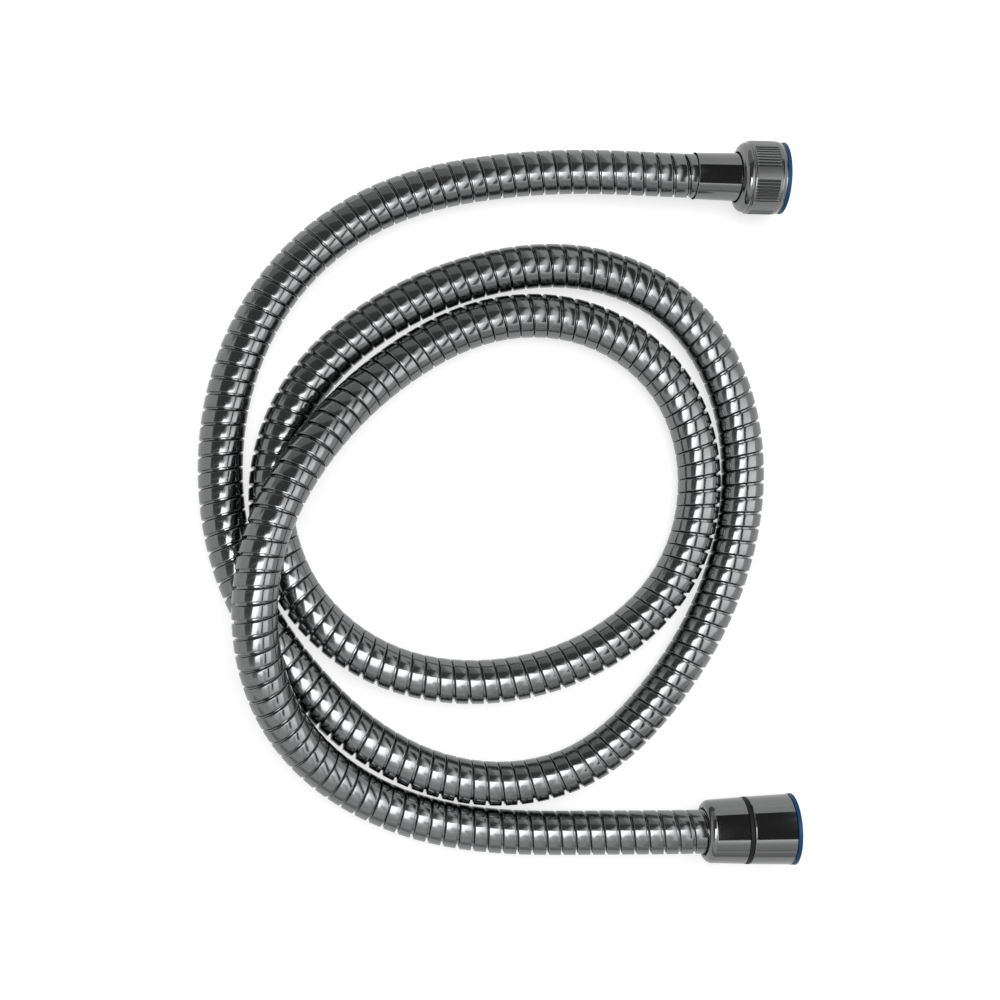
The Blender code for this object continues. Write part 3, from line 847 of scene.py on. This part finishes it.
class SHOWERHOSE_OT_fluted_nut(bpy.types.Operator):
    """Nut for the mixer, with patches of grip flutes"""

    bl_idname = "shower_hose.fluted_nut"
    bl_label = "Fluted nut"

    def execute(self, context):
        fittings = context.scene.shower_fittings
        rear, front, radius, axis = node_place("mixer_nut")
        start = rear + fittings.shoulder_length
        end = start + fittings.flute_length
        run_out = fittings.flute_run_out
        half = fittings.flute_width / 2 / radius
        middles = self.flute_middles(fittings)

        def dent(x, r, theta):
            away = theta[..., None] - middles
            away = np.abs((away + math.pi) % math.tau - math.pi).min(axis=-1)
            across = np.clip(away / half, 0.0, 1.0)
            hollow = np.cos(across * math.pi / 2)
            inside = np.clip((x - start) / run_out, 0, 1) * np.clip((end - x) / run_out, 0, 1)
            inside = inside * inside * (3 - 2 * inside)
            return np.where(r > radius - 1e-6, fittings.flute_depth * hollow * inside, 0.0)

        section = soften(self.corners(rear, front, radius, start, end, run_out))
        points, faces = spin(section, self.angles(fittings, middles, half), axis, dent=dent)
        add_piece(
            "mixer_nut_fluted", points, faces, "belted_fitting", "mixer_nut_turning",
            "dark_chrome", "mixer_nut",
        )
        return {"FINISHED"}

    def corners(self, rear, front, radius, start, end, run_out):
        """The nut's section: rear face, shoulder, flutes' ends, chamfered nose and socket."""
        _, seat, sleeve_radius, _ = node_place("mixer_ferrule")
        washer_front = node_place("mixer_washer")[1]
        bore = sleeve_radius + GAP
        inset, nose, step = 0.0006, 0.0013, 0.0005
        ends = [*np.linspace(start, start + run_out, 5), *np.linspace(end - run_out, end, 5)]
        return [
            (rear + inset, bore, EDGE),
            *((rear + x * MM, radius - depth * MM, 0.0) for x, depth in SHOULDER),
            *((x, radius, 0.0) for x in ends),
            (front - nose, radius, ROUND_EDGE),
            (front - step, radius - 0.0004, SOFT_EDGE),
            (front, radius - 0.0003, FINE_EDGE),
            *socket_corners(front, washer_front),
            (seat, SOCKET_ROOM, FINE_EDGE),
            (seat, bore, FINE_EDGE),
        ]

    def flute_middles(self, fittings):
        """The angle of each flute's middle, from straight up."""
        return np.array([
            fittings.first_patch + math.tau * patch / fittings.patches
            + fittings.patch_angle * ((flute + 0.5) / fittings.flutes - 0.5)
            for patch in range(fittings.patches)
            for flute in range(fittings.flutes)
        ])

    def angles(self, fittings, middles, half):
        """Angles of the facets: close in the flutes, wide between the patches."""
        in_flute = np.array((-1, -0.8, -0.55, -0.28, 0, 0.28, 0.55, 0.8, 1))
        in_gap = np.array((0.1, 0.3, 0.5, 0.7, 0.9))
        pitch = fittings.patch_angle / fittings.flutes
        turn = math.tau / fittings.patches
        edge = fittings.first_patch + fittings.patch_angle / 2 + pitch * 0.25
        gap = turn - fittings.patch_angle - pitch * 0.5
        angles = [middle + half * in_flute for middle in middles]
        angles += [edge + turn * patch + gap * in_gap for patch in range(fittings.patches)]
        return np.sort(np.concatenate(angles) % math.tau)


class SHOWERHOSE_OT_handset_fitting(bpy.types.Operator):
    """Rear shell, black slip ring and conical nut at the handset's end"""

    bl_idname = "shower_hose.handset_fitting"
    bl_label = "Handset fitting"

    def execute(self, context):
        self.make_shell()
        self.make_ring()
        self.make_cone()
        return {"FINISHED"}

    def make_shell(self):
        rear, front, radius, axis = node_place("rear_shell")
        wall, rounding = 0.00115, 0.0026
        lip, mouth, rear_radius, bore = 0.0085, 0.0081, 0.0108, 0.0102
        corner = rear + rounding
        out = rear_radius - lip
        inside = bulge(corner, lip, rounding - wall, out - wall, 10)
        section = soften([
            (rear + GAP, mouth, RIM_EDGE),
            *bulge(corner, lip, rounding, out, 14),
            (front + SEAM, radius, EDGE),
            (front + SEAM, bore, FINE_EDGE),
            *inside[::-1],
            (inside[0][0], mouth, FINE_EDGE),
        ])
        points, faces = spin(section, even_angles(), axis)
        add_piece("handset_shell", points, faces, "fitting", "root", "dark_chrome", "rear_shell")

    def make_ring(self):
        sleeve = node_place("handset_ferrule")[2] + GAP
        rear, front, radius, axis = node_place("slip_ring")
        neck, hub, rim_edge = 0.0073, 0.0099, 0.00015
        rim_rear = front - 0.0014
        pocket = rim_rear - 0.00155
        section = soften([
            (rear, sleeve, FINE_EDGE),
            (rear, hub, SOFT_EDGE),
            (rim_rear, hub, FINE_EDGE),
            (rim_rear, radius, rim_edge),
            (front, radius, rim_edge),
            (front, neck, FINE_EDGE),
            (pocket, neck, FINE_EDGE),
            (pocket, sleeve, FINE_EDGE),
        ])
        points, faces = spin(section, even_angles(), axis)
        add_piece(
            "bearing_ring", points, faces, "black_plastic", "root", "black_plastic", "slip_ring",
        )

    def make_cone(self):
        rear, front, radius, axis = node_place("cone_nut")
        washer_rear, washer_front, _, _ = node_place("handset_washer")
        neck, rear_radius = 0.0073, 0.0115
        collar = rear + 0.0029
        edge = 0.0006
        section = soften([
            (rear - SEAM, neck, FINE_EDGE),
            *bulge(rear - SEAM + edge, rear_radius - edge, edge, edge, 8),
            (front, radius, SOFT_EDGE),
            *socket_corners(front, washer_front),
            (washer_rear - GAP, SOCKET_ROOM, FINE_EDGE),
            (washer_rear - GAP, SOCKET_THROAT, FINE_EDGE),
            (collar, SOCKET_THROAT, FINE_EDGE),
            (collar, neck, FINE_EDGE),
        ])
        points, faces = spin(section, even_angles(), axis)
        add_piece(
            "handset_cone", points, faces, "fitting", "cone_nut_turning", "dark_chrome",
            "cone_nut",
        )


class SHOWERHOSE_OT_plugs(bpy.types.Operator):
    """Moulded blue plugs that close both nuts"""

    bl_idname = "shower_hose.plugs"
    bl_label = "Plugs"

    def execute(self, context):
        skirt, wall, thickness = 0.009, 0.0012, 0.00145
        bodies = {"mixer_plug": "mixer_nut_turning", "handset_plug": "cone_nut_turning"}
        for node, body in bodies.items():
            rear, front, radius, axis = node_place(node)
            flange = front - thickness - SEAM
            section = soften([
                (front - wall, 0.0, 0.0),
                (front - wall, skirt - wall, SOFT_EDGE),
                (rear, skirt - wall, EDGE),
                (rear, skirt, SOFT_EDGE),
                (flange, skirt, FINE_EDGE),
                (flange, radius, RIM_EDGE),
                (front, radius, ROUND_EDGE),
                (front, 0.0, 0.0),
            ], closed=False)
            points, faces = spin(section, even_angles(), axis, closed=False)
            add_piece(node + "_moulded", points, faces, "blue_plastic", body, "blue_plastic", node)
        return {"FINISHED"}


class SHOWERHOSE_OT_inner_parts(bpy.types.Operator):
    """Finishes of the parts inside: nipples, liner, washers and sealing ring"""

    bl_idname = "shower_hose.inner_parts"
    bl_label = "Inner parts"

    def execute(self, context):
        finishes = {
            "hose_armour": "winding",
            "inner_liner": "liner",
            "mixer_ferrule": "fitting",
            "mixer_nipple": "brass",
            "mixer_nut": "fitting",
            "mixer_washer": "rubber",
            "mixer_plug": "blue_plastic",
            "handset_ferrule": "fitting",
            "handset_nipple": "brass",
            "o_ring": "rubber",
            "rear_shell": "fitting",
            "slip_ring": "black_plastic",
            "cone_nut": "fitting",
            "handset_washer": "rubber",
            "handset_plug": "blue_plastic",
        }
        for node, finish in finishes.items():
            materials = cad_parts[node].data.materials
            materials.clear()
            materials.append(finish_of(finish))
        return {"FINISHED"}


class SHOWERHOSE_OT_studio(bpy.types.Operator):
    """White floor and surroundings, soft lamp, and cards that only show in reflections"""

    bl_idname = "shower_hose.studio"
    bl_label = "Studio"

    def execute(self, context):
        studio = context.scene.shower_studio
        self.make_floor(studio)
        self.make_sky(studio)
        for name, corners in CARDS.items():
            self.make_card(name, corners)
        self.make_lamp(studio)
        context.scene.view_settings.view_transform = "Standard"
        return {"FINISHED"}

    def make_lamp(self, studio):
        lamp = bpy.data.lights.new("soft_lamp", "AREA")
        lamp.shape = "DISK"
        lamp.size = studio.lamp_size
        lamp.energy = studio.lamp_power
        holder = bpy.data.objects.new("soft_lamp", lamp)
        holder.location = (-0.05, 0.25, 1.1)
        aim = Vector((-0.085, 0.0, 0.0)) - Vector(holder.location)
        holder.rotation_euler = aim.to_track_quat("-Z", "Y").to_euler()
        holder.visible_glossy = False
        bpy.context.scene.collection.objects.link(holder)

    def make_floor(self, studio):
        """A pale floor just under the hose, which glows white and keeps the shadows."""
        half, drop = studio.floor_size / 2, 0.00005
        mesh = bpy.data.meshes.new("floor")
        corners = [(-half, -half), (half, -half), (half, half), (-half, half)]
        mesh.from_pydata([(x, y, -drop) for x, y in corners], [], [(0, 1, 2, 3)])
        material, shader, graph = new_material("floor_finish")
        shader.inputs["Base Color"].default_value = shade([studio.floor_grey] * 3, 1.0)
        shader.inputs["Roughness"].default_value = 0.9
        shader.inputs["Specular IOR Level"].default_value = 0.0
        path = graph.add("ShaderNodeLightPath")
        shown = path["Is Camera Ray"].either(path["Is Transmission Ray"])
        level = shown * studio.floor_glow + path["Is Glossy Ray"] * studio.mirrored_floor
        glow = graph.add("ShaderNodeEmission", Color=WHITE, Strength=level)
        scattered = Wire(graph, shader.outputs[0])
        both = graph.add("ShaderNodeAddShader", i0=scattered, i1=glow["Emission"])
        graph.feed(material.node_tree.nodes["Material Output"], "Surface", both["Shader"])
        mesh.materials.append(material)
        floor = bpy.data.objects.new("floor", mesh)
        bpy.context.scene.collection.objects.link(floor)

    def make_sky(self, studio):
        """White surroundings, a little darker in reflections and as light."""
        world = bpy.data.worlds.new("white_surroundings")
        world.use_nodes = True
        bpy.context.scene.world = world
        graph = Graph(world.node_tree)
        background = world.node_tree.nodes["Background"]
        background.inputs["Color"].default_value = WHITE
        path = graph.add("ShaderNodeLightPath")
        shown = path["Is Camera Ray"].either(path["Is Transmission Ray"])
        level = studio.sky + shown * (1.0 - studio.sky)
        level = level + path["Is Glossy Ray"] * (studio.mirrored_sky - studio.sky)
        graph.feed(background, "Strength", level)

    def make_card(self, name, corners):
        """A four-sided card whose light blends from corner to corner."""
        steps = 12
        row = steps + 1
        a, b, c, d = (np.array(corner) for corner in corners)
        up, across = np.meshgrid(np.arange(row) / steps, np.arange(row) / steps, indexing="ij")
        up, across = up.reshape(-1, 1), across.reshape(-1, 1)
        points = (a * (1 - across) + b * across) * (1 - up) + (d * (1 - across) + c * across) * up
        faces = [
            (k, k + 1, k + 1 + row, k + row)
            for i in range(steps)
            for k in range(i * row, i * row + steps)
        ]
        mesh = bpy.data.meshes.new(name)
        mesh.from_pydata(points[:, :3].tolist(), [], faces)
        mesh.attributes.new("light", "FLOAT", "POINT").data.foreach_set("value", points[:, 3])
        material, _, graph = new_material(name)
        light = graph.add("ShaderNodeAttribute", {"attribute_name": "light"})["Fac"]
        glow = graph.add("ShaderNodeEmission", Color=WHITE, Strength=light)
        graph.feed(material.node_tree.nodes["Material Output"], "Surface", glow["Emission"])
        mesh.materials.append(material)
        card = bpy.data.objects.new(name, mesh)
        card.visible_camera = False
        card.visible_diffuse = False
        card.visible_shadow = False
        card.visible_transmission = False
        bpy.context.scene.collection.objects.link(card)


class SHOWERHOSE_PT_panel(bpy.types.Panel):
    """Steps that dress the shower hose"""

    bl_idname = "SHOWERHOSE_PT_panel"
    bl_label = "Shower Hose"
    bl_space_type = "VIEW_3D"
    bl_region_type = "UI"
    bl_category = "Shower Hose"

    def draw(self, context):
        for operator in OPERATORS:
            self.layout.operator(operator.bl_idname)


SETTINGS = {
    "shower_hose": HoseSettings,
    "shower_fittings": FittingSettings,
    "shower_hose_finish": FinishSettings,
    "shower_studio": StudioSettings,
}
OPERATORS = (
    SHOWERHOSE_OT_camera,
    SHOWERHOSE_OT_hose,
    SHOWERHOSE_OT_sleeves,
    SHOWERHOSE_OT_fluted_nut,
    SHOWERHOSE_OT_handset_fitting,
    SHOWERHOSE_OT_plugs,
    SHOWERHOSE_OT_inner_parts,
    SHOWERHOSE_OT_studio,
)


def register():
    for name, settings in SETTINGS.items():
        bpy.utils.register_class(settings)
        setattr(bpy.types.Scene, name, PointerProperty(type=settings))
    for operator in OPERATORS:
        bpy.utils.register_class(operator)
    bpy.utils.register_class(SHOWERHOSE_PT_panel)


def unregister():
    bpy.utils.unregister_class(SHOWERHOSE_PT_panel)
    for operator in reversed(OPERATORS):
        bpy.utils.unregister_class(operator)
    for name, settings in SETTINGS.items():
        delattr(bpy.types.Scene, name)
        bpy.utils.unregister_class(settings)


def main():
    register()
    bpy.ops.shower_hose.camera()
    bpy.ops.shower_hose.hose()
    bpy.ops.shower_hose.sleeves()
    bpy.ops.shower_hose.fluted_nut()
    bpy.ops.shower_hose.handset_fitting()
    bpy.ops.shower_hose.plugs()
    bpy.ops.shower_hose.inner_parts()
    bpy.ops.shower_hose.studio()


if __name__ == "__main__":
    main()
